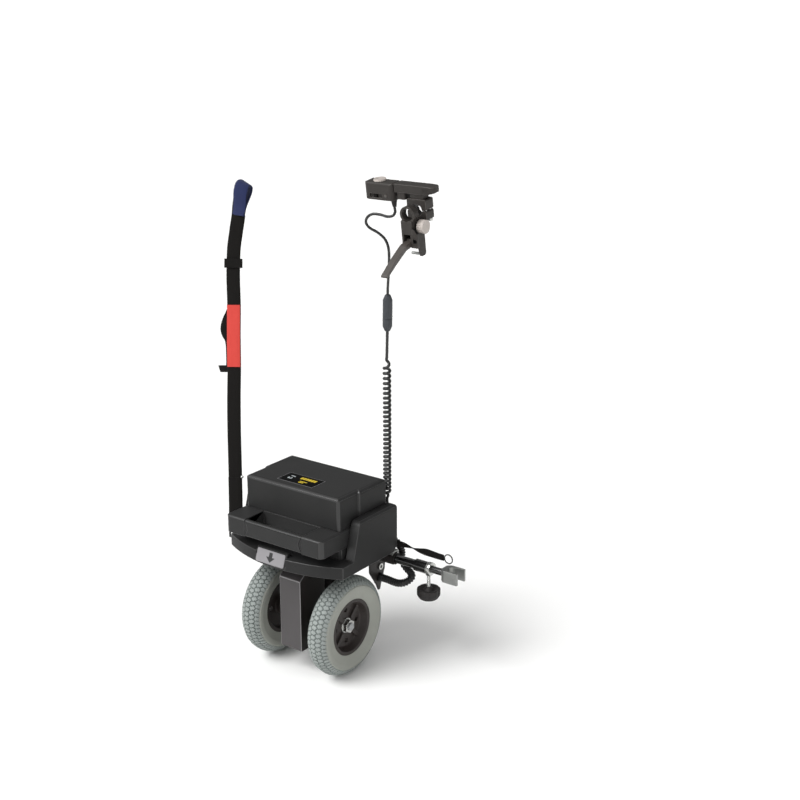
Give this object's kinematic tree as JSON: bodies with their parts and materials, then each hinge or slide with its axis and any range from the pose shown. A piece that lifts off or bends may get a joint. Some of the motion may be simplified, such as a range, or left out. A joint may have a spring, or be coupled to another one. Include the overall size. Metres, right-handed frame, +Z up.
{
  "type": "wheelchair power assist",
  "caption": "Swing-down twin-wheel power assist for an attendant wheelchair, with lift-off battery pack, telescopic mounting bar, corded handset and lifting strap.",
  "frame": {"origin": "middle of the mounting bar, on its axis", "axes": "+X along the mounting bar to the right, +Y ahead in the travel direction, +Z up"},
  "size_m": [0.56, 0.2563, 0.9654],
  "materials": {
    "abs_black": "moulded satin",
    "abs_charcoal": "moulded fine grain",
    "handset_plastic": "moulded satin",
    "grey_paint": "satin powder coat",
    "black_paint": "gloss paint",
    "dark_steel": "satin paint",
    "zinc": "bright zinc plate",
    "steel": "ground",
    "aluminium": "die cast",
    "bronze": "machined",
    "tyre_grey": "non-marking rubber",
    "rim_plastic": "moulded",
    "rubber_black": "matt",
    "cord_black": "satin sheath",
    "loom_black": "ribbed conduit",
    "connector_grey": "moulded",
    "foot_plate_grey": "fine grain sheet",
    "knob_grey": "moulded",
    "webbing_black": "woven polyester",
    "webbing_blue": "woven polyester",
    "webbing_red": "coated fabric",
    "battery_grey": "moulded case"
  },
  "bodies": {
    "chair_mount": {"bar_tube": "black_paint", "bar_collars": "black_paint", "pivot_bushes": "rubber_black", "bar_saddles": "zinc", "tether_strap": "webbing_black", "tether_ring": "steel", "handset_clamp": "handset_plastic", "handset_clamp_cap": "handset_plastic", "handset_bolts": "zinc", "control_arm": "handset_plastic", "control_pod": "handset_plastic", "lever_box": "handset_plastic", "lever_pin": "steel", "cable_gland": "rubber_black", "handset_cable": "cord_black", "inline_connector": "connector_grey", "curly_cord": "cord_black", "lift_strap": "webbing_black", "strap_loop": "webbing_blue", "strap_tag": "webbing_red", "strap_slider": "abs_black"},
    "drive_unit": {"base_housing": "abs_black", "push_plate": "foot_plate_grey", "chassis_plate": "dark_steel", "pivot_frame": "dark_steel", "column": "grey_paint", "gear_case_left": "aluminium", "gear_case_right": "aluminium", "axle_bearings": "steel", "motor_can": "dark_steel", "motor_end_cap": "abs_black", "controller": "aluminium", "battery_socket": "abs_black", "loom": "loom_black", "loom_glands": "loom_black", "cord_socket": "abs_black", "strap_hook": "zinc"},
    "wheel_set": {"axle": "steel", "worm_wheel": "bronze", "rim_left": "rim_plastic", "rim_right": "rim_plastic", "tyre_left": "tyre_grey", "tyre_right": "tyre_grey", "axle_nuts": "zinc"},
    "motor_rotor": {"armature": "steel"},
    "battery_pack": {"battery_case": "abs_charcoal", "battery_lid": "abs_black", "carry_handle": "abs_charcoal", "battery_cells": "battery_grey"},
    "bar_end_left": {"extension_left": "black_paint", "frame_clamp_left": "zinc"},
    "bar_end_right": {"extension_right": "black_paint", "frame_clamp_right": "zinc"},
    "knob_left": {"clamp_knob_left": "rubber_black"},
    "knob_right": {"clamp_knob_right": "rubber_black"},
    "dial": {"speed_dial": "knob_grey"},
    "switch": {"power_switch": "abs_black"},
    "lever": {"drive_lever": "handset_plastic"},
    "lever_screw": {"lever_knob": "knob_grey"}
  },
  "joints": [
    {"name": "swing_lift", "type": "hinge", "parent": "chair_mount", "child": "drive_unit", "pos_m": [0, 0, 0], "axis": [-1, 0, 0], "range_deg": [0, 20], "deforming": ["curly_cord", "lift_strap", "tether_strap"]},
    {"name": "wheel_spin", "type": "hinge", "parent": "drive_unit", "child": "wheel_set", "pos_m": [0, -0.11, -0.112], "axis": [1, 0, 0], "continuous": true},
    {"name": "motor_spin", "type": "hinge", "parent": "drive_unit", "child": "motor_rotor", "pos_m": [0, -0.0625, 0], "axis": [0, 0, 1], "continuous": true},
    {"name": "battery_lift", "type": "slide", "parent": "drive_unit", "child": "battery_pack", "axis": [0, 0, 1], "range_m": [0, 0.12]},
    {"name": "bar_left_slide", "type": "slide", "parent": "chair_mount", "child": "bar_end_left", "axis": [-1, 0, 0], "range_m": [-0.02, 0.04]},
    {"name": "bar_right_slide", "type": "slide", "parent": "chair_mount", "child": "bar_end_right", "axis": [1, 0, 0], "range_m": [-0.02, 0.04]},
    {"name": "knob_left_turn", "type": "hinge", "parent": "chair_mount", "child": "knob_left", "pos_m": [-0.205, 0, 0], "axis": [0, 0, 1], "range_deg": [-360, 0]},
    {"name": "knob_right_turn", "type": "hinge", "parent": "chair_mount", "child": "knob_right", "pos_m": [0.205, 0, 0], "axis": [0, 0, 1], "range_deg": [-360, 0]},
    {"name": "dial_turn", "type": "hinge", "parent": "chair_mount", "child": "dial", "pos_m": [0.132, -0.05443, 0.74802], "axis": [0, -0.1478, 0.989], "range_deg": [-270, 0]},
    {"name": "switch_slide", "type": "slide", "parent": "chair_mount", "child": "switch", "axis": [1, 0, 0], "range_m": [0, 0.005]},
    {"name": "lever_squeeze", "type": "hinge", "parent": "chair_mount", "child": "lever", "pos_m": [0.215, -0.07424, 0.65052], "axis": [-1, 0, 0], "range_deg": [0, 16], "stiffness_Nm_per_rad": 0.4},
    {"name": "lever_screw_turn", "type": "hinge", "parent": "chair_mount", "child": "lever_screw", "pos_m": [0.235, -0.06893, 0.67862], "axis": [1, 0, 0], "range_deg": [-360, 0]}
  ],
  "couplings": [
    {"joint": "motor_spin", "follows": "wheel_spin", "ratio": -30}
  ]
}
